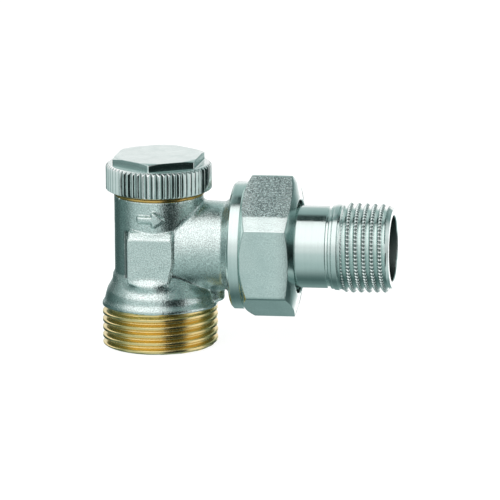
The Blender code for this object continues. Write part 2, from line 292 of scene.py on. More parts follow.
def slab(flat, height, radius):
    """A flat shape's distance and a height's, joined as a body with rounded edges."""
    a, b = flat + radius, height + radius
    return np.minimum(np.maximum(a, b), 0) + np.sqrt(np.maximum(a, 0) ** 2 + np.maximum(b, 0) ** 2) - radius


COLUMN = Outline(
    [
        (-20, 34.88),
        (10.15, 34.88, 0.25),
        (10.15, 17.3, 0.8),
        (10.62, 16.45, 0.5),
        (10.78, 15.1, 0.8),
        (11.9, 13.1, 0.9),
        (12.3, 11.6, 0.8),
        (12.5, 10.6, 0.4),
        (13.1, 9.75, 0.3),
        (13.12, 9.15, 0.2),
        (11.9, 9.0),
        (11.9, 8.3),
        (-20, 8.3),
    ],
    (0, 5, 24, 39),
)
COLUMN_FRONT = Outline(
    [
        (-20, 34.88),
        (10.15, 34.88, 0.25),
        (10.15, 17.4, 1.5),
        (11.0, 15.8, 1.2),
        (12.5, 12.75, 1.8),
        (12.6, 11.25, 1.4),
        (13.1, 10.1, 0.7),
        (13.12, 9.45, 0.2),
        (11.9, 9.3),
        (11.9, 8.3),
        (-20, 8.3),
    ],
    (0, 5, 24, 39),
)
BRANCH = Outline(
    [(-20, 0), (10.32, 0), (10.32, 5.0, 4.0), (9.84, 15.2, 1.3), (11.2, 16.8, 0.3), (11.3, 17.4, 0.3), (11.3, 18.0, 0.1), (12.7, 18.05, 0.15), (12.7, 18.6, 0.1), (-20, 18.6)],
    (0, -4, 24, 24),
)
CHAMBER = Outline(
    [(-20, 38), (9.75, 38), (9.75, 34.3), (8.9, 34.3), (8.9, 27.2), (8.0, 26.6), (8.0, 16.2), (-20, 16.2)],
    (0, 4, 24, 39),
)
INLET = Outline([(-20, 19), (6.9, 19), (7.5, 15.0), (7.5, 4), (-20, 4)], (0, 4, 24, 39))
OUTLET = Outline([(-20, 3), (6.3, 3), (6.3, 9.0), (6.8, 9.2), (6.8, 24), (-20, 24)], (0, -2, 24, 24))
ARROW = Outline(
    [(-3.0, -0.62, 0.25), (0.3, -0.62, 0.1), (0.3, -1.9, 0.3), (3.1, 0.0, 0.3), (0.3, 1.9, 0.3), (0.3, 0.62, 0.1), (-3.0, 0.62, 0.25)],
    (-9, -8, 9, 8),
    0.04,
)


def bores(x, y, z):
    rc = np.sqrt(x * x + y * y)
    rb = np.sqrt(y * y + (z - UZ) ** 2)
    d = CHAMBER.at(rc, z)
    d = np.minimum(d, INLET.at(rc, z))
    return join(d, OUTLET.at(rb, x), 0.25)


def forging_skin(x, y, z):
    rc = np.sqrt(x * x + y * y) + 1e-9
    rb = np.sqrt(y * y + (z - UZ) ** 2) + 1e-9
    front = np.clip((-y / rc - 0.1) / 0.6, 0, 1)
    front = front * front * (3 - 2 * front)
    column = COLUMN.at(rc, z) * (1 - front) + COLUMN_FRONT.at(rc, z) * front
    # Swelling at the front, under the spanner flat
    foot = (np.sqrt(((x + 0.9) / 3.7) ** 2 + ((y + 10.0) / 2.0) ** 2 + ((z - 15.5) / 1.3) ** 2) - 1) * 1.3
    branch = BRANCH.at(rb, x)
    same = np.clip((y / rc) * (y / rb), 0, 1)
    d = join(column, branch, 0.05 + 1.0 * (1 - same**2))
    # Web under the branch, with a round end
    ax, ay = np.abs(x - 9.6) - 5.2 + 2.6, np.abs(y) - 2.75 + 2.6
    flat = np.sqrt(np.maximum(ax, 0) ** 2 + np.maximum(ay, 0) ** 2) + np.minimum(np.maximum(ax, ay), 0) - 2.6
    web = slab(flat, np.abs(z - 14.15) - 3.8, 0.8)
    d = join(d, web, 1.3)
    # The spanner flat: a block with a bevel above it, whose right side leans in towards its foot
    lean = 0.225 * np.clip(20.9 - z, 0, 4.2)
    side = np.maximum(-5.8 - x, (x - 4.65 + lean) * 0.98)
    top = both(0.7071 * (z - 26.5 - y - 11.25), z - 28.15, 0.5)
    boss = both(both(side, top, 0.8), 16.15 - z, 0.8)
    boss = both(both(boss, -11.25 - y, 0.3), y + 3.0, 0.1)
    seam = np.clip((x - 2.5) / 2.0, 0, 1)
    d = join(d, boss, 0.12 + 0.12 * seam)
    # A narrow step where the flat's left side meets the column
    step = slab(np.sqrt((x + 6.5) ** 2 + (y + 7.95) ** 2) - 0.5, np.abs(z - 22.3) - 5.4, 0.4)
    d = cut(d, step, 0.12)
    d = join(d, foot, 1.1)
    arc = 10.15 * np.arctan2(x, -y)
    arrow = slab(ARROW.at(arc + 0.4, z - 30.9) - 0.16, np.abs(rc - 9.9) - 1.08, 0.5)
    return np.where(np.abs(arc) < 6, join(d, arrow, 0.35), d)


def forging(x, y, z):
    return cut(forging_skin(x, y, z), bores(x, y, z), 0.3)


def axis_points(low, high, step, fine=(), fine_step=0.12):
    out, at = [low], low
    while at < high:
        small = any(a <= at <= b for a, b in fine)
        at += fine_step if small else step
        out.append(at)
    return np.array(out)


def surface(field, xs, ys, zs):
    """Surface net of a field on a grid: one point for each cell that the surface crosses, then moved on to the surface."""
    values = np.empty((len(xs), len(ys), len(zs)), np.float32)
    for i, x in enumerate(xs):
        gy, gz = np.meshgrid(ys, zs, indexing="ij")
        values[i] = field(np.full(gy.shape, x), gy, gz)
    inside = values < 0
    shape = tuple(n - 1 for n in values.shape)
    cells = int(np.prod(shape))
    total = np.zeros((cells, 3))
    hits = np.zeros(cells)
    grid = (xs, ys, zs)
    edges = []
    for axis in range(3):
        lo = [slice(None)] * 3
        hi = [slice(None)] * 3
        lo[axis], hi[axis] = slice(0, -1), slice(1, None)
        at = np.argwhere(inside[tuple(lo)] != inside[tuple(hi)])
        nxt = at.copy()
        nxt[:, axis] += 1
        a = values[tuple(at.T)].astype(float)
        b = values[tuple(nxt.T)].astype(float)
        t = a / (a - b)
        point = np.stack([grid[k][at[:, k]] for k in range(3)], 1)
        point[:, axis] += t * (grid[axis][at[:, axis] + 1] - grid[axis][at[:, axis]])
        others = [k for k in range(3) if k != axis]
        around = []
        for da, db in ((-1, -1), (0, -1), (0, 0), (-1, 0)):
            cell = at.copy()
            cell[:, others[0]] += da
            cell[:, others[1]] += db
            good = np.all((cell >= 0) & (cell < np.array(shape)), 1)
            flat = np.ravel_multi_index(tuple(np.where(good[:, None], cell, 0).T), shape)
            around.append(np.where(good, flat, -1))
            for k in range(3):
                total[:, k] += np.bincount(flat[good], point[good, k], cells)
            hits += np.bincount(flat[good], minlength=cells)
        around = np.stack(around, 1)
        flip = inside[tuple(at.T)]
        if axis == 1:
            flip = ~flip
        around[flip] = around[flip][:, ::-1]
        edges.append(around[np.all(around >= 0, 1)])
    used = np.nonzero(hits)[0]
    number = np.full(cells, -1)
    number[used] = np.arange(len(used))
    points = total[used] / hits[used, None]
    faces = number[np.concatenate(edges)]
    step = 0.02
    for _ in range(3):
        p = points.T
        d = field(*p)
        slope = np.stack([field(*(p + step * np.eye(3)[:, k : k + 1])) - field(*(p - step * np.eye(3)[:, k : k + 1])) for k in range(3)], 1) / (2 * step)
        length = (slope**2).sum(1)
        move = -(d / np.maximum(length, 0.25))[:, None] * slope
        size = np.linalg.norm(move, axis=1)
        move *= np.minimum(1, 0.12 / np.maximum(size, 1e-9))[:, None]
        points = points + move
    return points, faces, slope / np.maximum(np.sqrt(length), 1e-9)[:, None]


# ---------------------------------------------------------------- materials


class Nodes:
    """A short way to write a node tree."""

    def __init__(self, name):
        self.mat = bpy.data.materials.new(name)
        self.mat.use_nodes = True
        self.tree = self.mat.node_tree
        self.shader = self.tree.nodes["Principled BSDF"]
        self.coord = self.tree.nodes.new("ShaderNodeTexCoord").outputs["Object"]

    def link(self, a, b):
        if isinstance(a, bpy.types.NodeSocket):
            self.tree.links.new(a, b)
        else:
            b.default_value = a

    def math(self, op, a, b=None, c=None, clamp=False):
        node = self.tree.nodes.new("ShaderNodeMath")
        node.operation = op
        node.use_clamp = clamp
        for k, v in enumerate((a, b, c)):
            if v is not None:
                self.link(v, node.inputs[k])
        return node.outputs[0]

    def scaled(self, factors, vector=None):
        node = self.tree.nodes.new("ShaderNodeMapping")
        node.inputs["Scale"].default_value = factors
        self.link(vector or self.coord, node.inputs["Vector"])
        return node.outputs[0]

    def noise(self, scale, detail=2.0, rough=0.5, vector=None, distortion=0.0):
        node = self.tree.nodes.new("ShaderNodeTexNoise")
        node.inputs["Scale"].default_value = scale
        node.inputs["Detail"].default_value = detail
        node.inputs["Roughness"].default_value = rough
        node.inputs["Distortion"].default_value = distortion
        self.link(vector or self.coord, node.inputs["Vector"])
        return node.outputs["Fac"]

    def cells(self, scale, vector=None, feature="F1", random=1.0):
        node = self.tree.nodes.new("ShaderNodeTexVoronoi")
        node.feature = feature
        node.inputs["Scale"].default_value = scale
        node.inputs["Randomness"].default_value = random
        self.link(vector or self.coord, node.inputs["Vector"])
        return node.outputs["Distance"]

    def ramp(self, value, stops, ease="LINEAR"):
        node = self.tree.nodes.new("ShaderNodeValToRGB")
        node.color_ramp.interpolation = ease
        stops = [(p, c if isinstance(c, tuple) else (c, c, c)) for p, c in stops]
        for k, (p, c) in enumerate(stops):
            e = node.color_ramp.elements[k] if k < 2 else node.color_ramp.elements.new(p)
            e.position, e.color = p, (*c, 1)
        self.link(value, node.inputs[0])
        return node.outputs[0]

    def range(self, value, a, b, c, d, smooth=False):
        node = self.tree.nodes.new("ShaderNodeMapRange")
        if smooth:
            node.interpolation_type = "SMOOTHSTEP"
        self.link(value, node.inputs[0])
        for k, v in enumerate((a, b, c, d)):
            self.link(v, node.inputs[k + 1])
        return node.outputs[0]

    def mix(self, factor, a, b, mode="MIX"):
        node = self.tree.nodes.new("ShaderNodeMix")
        node.data_type = "RGBA"
        node.blend_type = mode
        self.link(factor, node.inputs["Factor"])
        for key, v in (("A", a), ("B", b)):
            socket = [s for s in node.inputs if s.name == key and s.type == "RGBA"][0]
            self.link((*v, 1) if isinstance(v, tuple) else v, socket)
        return [s for s in node.outputs if s.type == "RGBA"][0]

    def bump(self, height, distance, strength=1.0, normal=None):
        node = self.tree.nodes.new("ShaderNodeBump")
        node.inputs["Strength"].default_value = strength
        node.inputs["Distance"].default_value = distance
        self.link(height, node.inputs["Height"])
        if normal is not None:
            self.link(normal, node.inputs["Normal"])
        return node.outputs[0]

    def split(self, vector=None):
        node = self.tree.nodes.new("ShaderNodeSeparateXYZ")
        self.link(vector or self.coord, node.inputs[0])
        return node.outputs

    def joined(self, x, y, z):
        node = self.tree.nodes.new("ShaderNodeCombineXYZ")
        for k, v in enumerate((x, y, z)):
            self.link(v, node.inputs[k])
        return node.outputs[0]

    def edges(self):
        """How convex the surface is: 0.5 on a flat, more on an edge."""
        return self.tree.nodes.new("ShaderNodeNewGeometry").outputs["Pointiness"]

    def axis_radius(self, axis):
        x, y, z = self.split()
        if axis == "Z":
            a, b = x, y
        else:
            a, b = y, self.math("SUBTRACT", z, UZ * MM)
        return self.math("SQRT", self.math("ADD", self.math("MULTIPLY", a, a), self.math("MULTIPLY", b, b)))

    def set(self, **values):
        for key, value in values.items():
            self.link((*value, 1) if isinstance(value, tuple) and len(value) == 3 else value, self.shader.inputs[key.replace("_", " ")])
        return self.mat


NICKEL = (0.705, 0.82, 0.80)
NICKEL_DARK = (0.53, 0.66, 0.645)


def blasted_nickel(name, bright=1.0, rough=0.21, grain=1.0):
    """Nickel plate over a shot-blasted forging: fine pitted grain, faint blotches, edges rubbed smooth, and painted
    shade in its creases and in the narrow step beside the spanner flat.
    """
    n = Nodes(name)
    fine = n.noise(4900, 0.6, 0.5)
    pits = n.cells(3300)
    coarse = n.noise(1100, 2.0, 0.5)
    blotch = n.noise(160, 4.0, 0.6)
    normal = n.bump(fine, 0.00005 * grain)
    normal = n.bump(n.range(pits, 0.06, 0.34, 0.0, 1.0, True), 0.000010 * grain, 1.0, normal)
    normal = n.bump(coarse, 0.000005 * grain, 1.0, normal)
    speck = n.range(fine, 0.36, 0.64, 0.0, 1.0)
    colour = n.mix(speck, tuple(c * 0.74 * bright for c in NICKEL), tuple(min(1, c * 1.15 * bright) for c in NICKEL))
    colour = n.mix(n.range(pits, 0.05, 0.20, 0.6, 0.0), colour, tuple(c * 0.32 for c in NICKEL_DARK))
    colour = n.mix(n.range(blotch, 0.35, 0.7, 0.0, 0.25), colour, tuple(c * 0.88 * bright for c in NICKEL_DARK))
    # Painted shade: concave creases, where pointiness is low, darkened towards near-black
    crease_shade = n.math("MULTIPLY", n.range(n.edges(), 0.43, 0.478, 0.85, 0.0), n.range(fine, 0.3, 0.6, 1.0, 0.6))
    colour = n.mix(crease_shade, colour, (0.07, 0.10, 0.097))
    # Painted shade: a dark, ragged line in the narrow step beside the spanner flat
    x, y, z = n.split()
    off = n.math("ABSOLUTE", n.math("ADD", n.math("ADD", x, 6.62 * MM), n.range(fine, 0.3, 0.7, -0.12 * MM, 0.12 * MM)))
    step_shade = n.math("MULTIPLY", n.range(off, 0.26 * MM, 0.5 * MM, 0.92, 0.0), n.range(y, -7.1 * MM, -6.8 * MM, 1.0, 0.0))
    level = n.math("ABSOLUTE", n.math("SUBTRACT", z, 22.2 * MM))
    step_shade = n.math("MULTIPLY", step_shade, n.range(level, 5.2 * MM, 5.7 * MM, 1.0, 0.0))
    colour = n.mix(step_shade, colour, (0.05, 0.075, 0.072))
    worn = n.range(n.edges(), 0.505, 0.56, 0.0, 0.55)
    colour = n.mix(worn, colour, (0.80, 0.90, 0.88))
    roughness = n.math("ADD", n.range(speck, 0, 1, rough + 0.05, rough - 0.05), n.range(blotch, 0.3, 0.7, -0.03, 0.06))
    roughness = n.math("SUBTRACT", roughness, n.math("MULTIPLY", worn, 0.12))
    return n.set(Base_Color=colour, Metallic=1.0, Roughness=roughness, Normal=normal)


def nut_nickel(name, turn):
    """The nut's flats: ground smooth, but for two opposite ones that keep the forging's coarse skin, coloured dark with
    light grains as a painted dark reflection.
    """
    n = Nodes(name)
    x, y, z = n.split()
    up = n.math("SUBTRACT", z, UZ * MM)
    a = math.radians(turn + 90.0)
    out = n.math("ADD", n.math("MULTIPLY", y, math.cos(a)), n.math("MULTIPLY", up, math.sin(a)))
    along = n.math("ADD", n.math("MULTIPLY", y, -math.sin(a)), n.math("MULTIPLY", up, math.cos(a)))
    side = n.math("SIGN", out)
    along = n.math("MULTIPLY", along, side)
    facing = n.range(n.math("ABSOLUTE", out), 14.35 * MM, 14.6 * MM, 0.0, 1.0)
    ragged = n.noise(900, 4.0, 0.7)
    shifted = n.math("ADD", along, n.range(ragged, 0.3, 0.7, -0.3 * MM, 0.3 * MM))
    low = n.range(shifted, 4.6 * MM, 5.0 * MM, 1.0, 0.0)
    high = n.range(shifted, -7.9 * MM, -7.6 * MM, 0.0, 1.0)
    skin = n.math("MULTIPLY", facing, n.math("MULTIPLY", low, high))
    grit = n.noise(4100, 1.0, 0.7)
    pits = n.cells(3300)
    fine = n.noise(4200, 2.0, 0.6)
    haze = n.noise(150, 4.0, 0.6)
    smear = n.noise(520, 3.0, 0.6, n.joined(n.math("MULTIPLY", x, 0.25), y, z))
    rough_height = n.math("ADD", n.math("MULTIPLY", grit, 1.0), n.math("MULTIPLY", pits, 0.4))
    normal = n.bump(n.math("MULTIPLY", rough_height, skin), 0.00022)
    normal = n.bump(fine, 0.000028, 1.0, normal)
    normal = n.bump(smear, 0.000012, 1.0, normal)
    smooth = n.mix(n.range(fine, 0.3, 0.72, 0.0, 1.0), tuple(c * 0.84 for c in NICKEL), tuple(min(1, c * 1.16) for c in NICKEL))
    smooth = n.mix(n.range(haze, 0.35, 0.7, 0.0, 0.5), smooth, tuple(c * 0.98 for c in NICKEL_DARK))
    # The coarse skin's colour: near-black with light grains, a painted dark reflection over the real rough skin
    coarse = n.mix(n.range(grit, 0.42, 0.60, 0.0, 1.0), (0.07, 0.11, 0.11), (0.74, 0.88, 0.87))
    colour = n.mix(skin, smooth, coarse)
    worn = n.range(n.edges(), 0.505, 0.56, 0.0, 0.6)
    colour = n.mix(worn, colour, (0.84, 0.91, 0.89))
    roughness = n.math("ADD", n.range(smear, 0.3, 0.7, 0.17, 0.24), n.math("MULTIPLY", skin, 0.06))
    return n.set(Base_Color=colour, Metallic=1.0, Roughness=roughness, Normal=normal)


def turned_metal(name, colour, axis, rough=0.2, marks=1.0, along=True, tint=None, wear=0.25, groove_shade=None, beads=0):
    """Metal from a lathe: fine marks that run round the axis, with faint smears and stains, and where asked painted
    shade in the grooves and painted shade and highlights on a serrated crest.
    """
    n = Nodes(name)
    x, y, z = n.split()
    run = (z if axis == "Z" else x) if along else n.axis_radius(axis)
    radial = n.axis_radius(axis)
    line = n.joined(n.math("MULTIPLY", run, 1.0), n.math("MULTIPLY", radial, 1.0), 0.0)
    tool = n.noise(9000, 1.0, 0.5, line)
    broad = n.noise(1400, 2.0, 0.6, line)
    smear = n.noise(420, 3.0, 0.6)
    haze = n.noise(120, 3.0, 0.55)
    grain = n.noise(5200, 1.0, 0.5)
    normal = n.bump(tool, 0.0000022 * marks)
    normal = n.bump(broad, 0.000006 * marks, 1.0, normal)
    normal = n.bump(grain, 0.0000025, 1.0, normal)
    dark = tint or tuple(c * 0.82 for c in colour)
    base = n.mix(n.range(broad, 0.35, 0.8, 0.0, 0.35), colour, dark)
    base = n.mix(n.range(haze, 0.45, 0.8, 0.0, 0.3), base, tuple(c * 0.92 for c in dark))
    edge = n.range(n.edges(), 0.505, 0.57, 0.0, wear)
    base = n.mix(edge, base, tuple(min(1, c * 1.18) for c in colour))
    if groove_shade:  # painted shade in the grooves: full below the first radius, fading out by the second
        groove_shade_mask = n.math("MULTIPLY", n.range(radial, groove_shade[0] * MM, groove_shade[1] * MM, 1.0, 0.0), n.range(smear, 0.25, 0.6, 0.75, 1.0))
        base = n.mix(groove_shade_mask, base, groove_shade[2])
    if beads:  # painted shade between the teeth of a serrated crest, and a painted highlight on each tooth's top
        turn = n.math("MULTIPLY", n.math("ARCTAN2", n.math("SUBTRACT", z, UZ * MM), y), beads / TAU)
        part = n.math("ABSOLUTE", n.math("SUBTRACT", n.math("FRACT", n.math("ADD", turn, 2.0 * beads)), 0.5))
        level = n.math("ADD", radial, n.math("MULTIPLY", n.math("SUBTRACT", x, 41.3 * MM), 0.022))
        tip = n.range(level, 9.62 * MM, 9.80 * MM, 0.0, 1.0)
        # Painted shade: a dark ring on the flanks either side of the crest's tip
        line = n.math("MULTIPLY", n.range(level, 9.50 * MM, 9.62 * MM, 0.0, 0.25), n.range(level, 9.84 * MM, 9.96 * MM, 1.0, 0.0))
        base = n.mix(line, base, (0.10, 0.14, 0.13))
        # Painted shade in the gaps between the beads
        bead_gap_shade = n.math("MULTIPLY", n.range(part, 0.25, 0.35, 0.0, 0.72, True), tip)
        base = n.mix(bead_gap_shade, base, (0.07, 0.105, 0.10))
        # Painted highlight: the top of each bead near white
        bead_highlight = n.math("MULTIPLY", n.range(part, 0.10, 0.17, 1.0, 0.0), n.range(level, 9.95 * MM, 10.05 * MM, 0.0, 1.0))
        base = n.mix(bead_highlight, base, (0.97, 1.0, 0.99))
    roughness = n.math("ADD", n.range(smear, 0.3, 0.75, rough - 0.04, rough + 0.07), n.range(tool, 0.3, 0.7, -0.02, 0.03))
    return n.set(Base_Color=base, Metallic=1.0, Roughness=roughness, Normal=normal)


def rubber_like(name, colour=(0.02, 0.02, 0.021), rough=0.62):
    n = Nodes(name)
    bloom = n.noise(700, 4.0, 0.6)
    fine = n.noise(6000, 2.0, 0.6)
    base = n.mix(n.range(bloom, 0.35, 0.7, 0.0, 0.6), colour, tuple(c * 2.1 + 0.006 for c in colour))
    return n.set(Base_Color=base, Metallic=0.0, Roughness=n.range(bloom, 0.3, 0.7, rough - 0.08, rough + 0.1), Normal=n.bump(fine, 0.000008))


BRASS = (0.92, 0.76, 0.38)
BRASS_DARK = (0.62, 0.43, 0.12)
STEEL = (0.56, 0.57, 0.57)

m_forging = blasted_nickel("forged_nickel")
m_flat = nut_nickel("nut_flat_nickel", 33.5)
m_nut = turned_metal("nut_turned_nickel", NICKEL, "X", 0.16)
m_nut_end = turned_metal("nut_end_nickel", NICKEL, "X", 0.12, 1.2, along=False)
m_cap = turned_metal("cap_nickel", NICKEL, "Z", 0.14, 0.8)
m_cap_top = turned_metal("cap_top_nickel", (0.75, 0.84, 0.825), "Z", 0.18, 1.3, along=False)
m_skirt = turned_metal("skirt_nickel", (0.93, 0.98, 0.97), "Z", 0.22, 1.0, along=False)
m_tail = turned_metal("tail_nickel", tuple(c * 0.97 for c in NICKEL), "X", 0.14, 0.8)
m_knurl = turned_metal("knurl_nickel", (0.80, 0.88, 0.865), "Z", 0.15, 0.8, wear=0.6, groove_shade=(11.30, 11.72, (0.20, 0.26, 0.25)))
m_serrated = turned_metal("serrated_nickel", (0.76, 0.86, 0.84), "X", 0.13, 0.8, wear=0.7, beads=68)
# Painted shade: the tailpiece's bore gets a near-black copy of the nickel
m_bore_shade = turned_metal("bore_nickel_painted_shade", (0.16, 0.20, 0.19), "X", 0.34, 1.5)
m_brass = turned_metal("thread_brass", BRASS, "Z", 0.22, 1.2, tint=BRASS_DARK)
m_brass_x = turned_metal("union_brass", BRASS, "X", 0.24, 1.2, tint=BRASS_DARK)
m_bonnet = turned_metal("bonnet_brass", (0.80, 0.52, 0.17), "Z", 0.22, 1.0, tint=(0.42, 0.22, 0.05))
m_disc = turned_metal("disc_brass", BRASS, "Z", 0.28, 1.0, tint=BRASS_DARK)
m_steel = turned_metal("inner_steel", STEEL, "Z", 0.26)
m_rubber = rubber_like("seal_rubber")


# ---------------------------------------------------------------- body: forging, inlet thread, union thread

xs = axis_points(-14.0, 19.2, 0.29, [(-3.8, 2.9)], 0.19)
ys = axis_points(-14.0, 14.0, 0.29, [(-11.4, -9.2)], 0.17)
zs = axis_points(7.9, 36.6, 0.29, [(28.9, 32.9), (34.4, 35.2)], 0.17)
points, faces, normals = surface(forging, xs, ys, zs)
inner = np.abs(bores(*points.T)) < 0.1
lumps = np.array(
    [
        0.045 * noise.noise(Vector(p * 0.22)) + 0.022 * noise.noise(Vector(p * 0.6 + 7.0)) + 0.009 * noise.noise(Vector(p * 1.7 + 3.0))
        for p in points
    ]
)
lumps[inner] = 0.0
points = points + normals * lumps[:, None]
slots = inner[faces].sum(1) >= 3
body = finish_mesh("body_forging", points, faces.tolist(), slots.astype(np.int32), [m_forging, m_disc], sharp=60)

INLET_R, PITCH = 13.06, 1.814


def thread_shape(phase, crest=0.17, root=0.10):
    """Height from 0 at the root to 1 at the crest over one pitch, phase 0 at the crest, with rounded corners."""
    u = np.abs((phase + 0.5) % 1.0 - 0.5) * 2  # 0 crest, 1 root
    ramp = np.clip((1 - root - u) / (1 - root - crest), 0, 1)
    soft = ramp * ramp * (3 - 2 * ramp)
    return 0.72 * ramp + 0.28 * soft


def inlet_radius(z, angle):
    phase = z / PITCH - angle / TAU + 0.33
    full = INLET_R - 1.1 + 1.1 * thread_shape(phase, 0.30)
    chamfer = 11.75 + np.sqrt(np.clip(1 - (1 - np.clip(z / 1.9, 0, 1)) ** 2, 0, 1)) * 1.9
    top = 12.15 + np.clip((8.75 - z) / 0.35, 0, 1) * 2
    return np.minimum(np.minimum(full, chamfer), top)


inlet = helical(
    "inlet_thread",
    [(12.15, 9.6), (7.9, 9.6), (7.9, 15.3), (6.7, 15.3), (6.55, 16.2), (6.2, 17.0, 0.1), (5.4, 17.0, 0.15), (5.4, 14.4), (7.0, 12.8), (7.0, 6.2), (7.6, 6.0), (9.25, 0.0, 0.25)],
    [(10.6, 0.0), (11.3, 0.0, 0.0)],
    0.0,
    8.95,
    inlet_radius,
    PITCH,
    336,
    16,
    [m_brass],
)


def union_radius(x, angle):
    phase = x / PITCH - angle / TAU
    full = 12.9 - 1.05 + 1.05 * thread_shape(phase, 0.26)
    end = 12.1 + np.clip((26.6 - x) / 0.7, 0, 1) * 1.2
    start = 11.6 + np.clip((x - 18.3) / 0.6, 0, 1) * 2
    return np.minimum(np.minimum(full, end), start)


union = helical(
    "union_thread",
    [(9.6, 26.6, 0.2), (7.9, 23.4, 0.2), (6.3, 22.2, 0.2), (6.3, 9.0, 0.2), (7.2, 9.0), (7.2, 15.0)],
    [(9.4, 15.0), (10.2, 17.6), (11.2, 18.2)],
    18.3,
    26.6,
    union_radius,
    PITCH,
    240,
    14,
    [m_brass_x],
    axis="X",
)

# ---------------------------------------------------------------- bonnet, the brass insert under the cap


def bonnet_profile():
    return [
        (5.2, 40.6, 0.1),
        (8.8, 40.6, 0.2),
        (9.2, 40.2, 0.2),
        (9.2, 37.0),
        (8.5, 36.6),
        (8.5, 35.45),
        (10.3, 35.45, 0.16),
        (10.3, 34.9, 0.16),
        (8.2, 34.9),
        (8.2, 34.0),
        (8.65, 33.6),
        (8.65, 28.1),
        (8.2, 27.6, 0.1),
        (5.5, 27.6),
        (5.5, 32.3),
        (4.5, 32.6),
        (4.5, 39.3),
        (5.1, 39.3),
        (5.1, 40.15),
        (4.65, 40.15),
        (4.65, 40.3),
    ]


bonnet = turned("bonnet_insert", bonnet_profile(), [m_bonnet], 200)

# ---------------------------------------------------------------- cap

CAP_COLS = 60 * 16
angle = np.arange(CAP_COLS) * TAU / CAP_COLS
tooth = (angle / (TAU / 60) + 0.03) % 1.0
number = np.floor(angle / (TAU / 60) + 0.03) % 60
odd = [(np.sin(number * a + b) * 4375.85) % 1.0 for a, b in ((12.99, 0.7), (78.23, 1.9), (37.72, 4.1))]
away = np.abs(tooth - 0.5) * 2
flank = np.where(tooth < 0.5, odd[0], odd[1])
dip = np.clip((away - 0.05 - 0.22 * flank) / (0.93 - 0.22 * flank), 0, 1)
knurl = 12.06 - (0.60 + 0.10 * odd[2] * (away < 0.999)) * dip**1.05 - 0.05 * odd[2] * (1 - dip)
hexa = hexagon_radius(angle, 9.5, math.radians(-94.0), 0.45)


def plate_top(r):
    return 43.85 - np.clip(r - 9.9, 0, None) * 0.3


def skirt_top(r):
    return np.where(r < 11.2, 42.06, 42.06 - (r - 11.2) * 0.78)


def skirt_foot(r):
    return 35.62 + np.clip(r - 10.6, 0, None) * 0.4343


rows = [
    (0.0, 43.85),
    (2.5, 43.85),
    (5.0, 43.85),
    (7.5, 43.85),
    (9.0, 43.85),
    (np.minimum(hexa - 0.16, 9.85), 43.85),
    (np.minimum(hexa - 0.13, 9.97), plate_top(np.minimum(hexa - 0.13, 9.97))),
    (hexa - 0.12, plate_top(hexa - 0.12)),
    (hexa - 0.06, plate_top(hexa) - 0.016),
    (hexa - 0.016, plate_top(hexa) - 0.06),
    (hexa, plate_top(hexa) - 0.13),
    (hexa, plate_top(hexa) * 0.5 + skirt_top(hexa) * 0.5),
    (hexa, skirt_top(hexa + 0.0) + 0.09),
    (hexa + 0.03, skirt_top(hexa + 0.03) + 0.025),
    (hexa + 0.10, skirt_top(hexa + 0.10)),
    (np.maximum(hexa + 0.16, 10.52), skirt_top(np.maximum(hexa + 0.16, 10.52))),
    (np.maximum(hexa + 0.20, 10.66), skirt_top(np.maximum(hexa + 0.20, 10.66)) - 0.01),
    (np.maximum(hexa + 0.24, 10.82), skirt_top(np.maximum(hexa + 0.24, 10.82)) - 0.01),
    (np.maximum(hexa + 0.28, 10.98), skirt_top(np.maximum(hexa + 0.28, 10.98))),
    (np.maximum(hexa + 0.30, 11.3), skirt_top(np.maximum(hexa + 0.30, 11.3))),
    (knurl - 0.08, skirt_top(knurl - 0.08)),
    (knurl - 0.015, skirt_top(knurl) - 0.02),
    (knurl, skirt_top(knurl) - 0.10),
    (knurl, 39.9),
    (knurl, 38.2),
    (knurl, skirt_foot(knurl) + 0.10),
    (knurl - 0.02, skirt_foot(knurl) + 0.01),
    (knurl - 0.10, skirt_foot(knurl - 0.10)),
    (10.75, skirt_foot(np.array(10.75))),
    (10.6, 35.63),
    (10.45, 35.62),
    (9.9, 35.62),
    (9.78, 35.67),
    (9.75, 35.77),
    (9.75, 36.5),
    (9.45, 37.0),
    (9.45, 41.7),
    (9.3, 41.8),
    (5.0, 41.8),
    (0.0, 41.8),
]
row_mats = [1] * 10 + [0] * (len(rows) - 10)
for k in range(13, 20):
    row_mats[k] = 3
for k in range(20, 27):
    row_mats[k] = 2
cap = revolve("knurled_cap", [r for r, _ in rows], [h for _, h in rows], CAP_COLS, [m_cap, m_cap_top, m_knurl, m_skirt], "Z", closed=False, row_mats=row_mats, sharp=28)

# ---------------------------------------------------------------- union nut

NUT_COLS, NUT_TURN = 1080, 33.5
angle = np.arange(NUT_COLS) * TAU / NUT_COLS
nut_r = hexagon_radius(angle, 14.56, math.radians(NUT_TURN), 1.3)
# Beside the two flats that keep the forging's skin one edge is ground to a narrow strip
for k in (120, 300):
    off = angle - math.radians(NUT_TURN + k - 20.0)
    strip = 15.19 / np.where(np.cos(off) > 0.5, np.cos(off), np.inf)
    strip = np.where(np.cos(off) > 0.5, strip, 99.0)
    nut_r = np.minimum(nut_r, strip)


def nut_left(r):
    return 20.35 + np.clip(r - 14.7, 0, None) * 0.68


def nut_right(r):
    return np.where(r > 14.55, 31.4 - (r - 14.55) * 0.348, 31.4 + (14.55 - r) * 0.219)


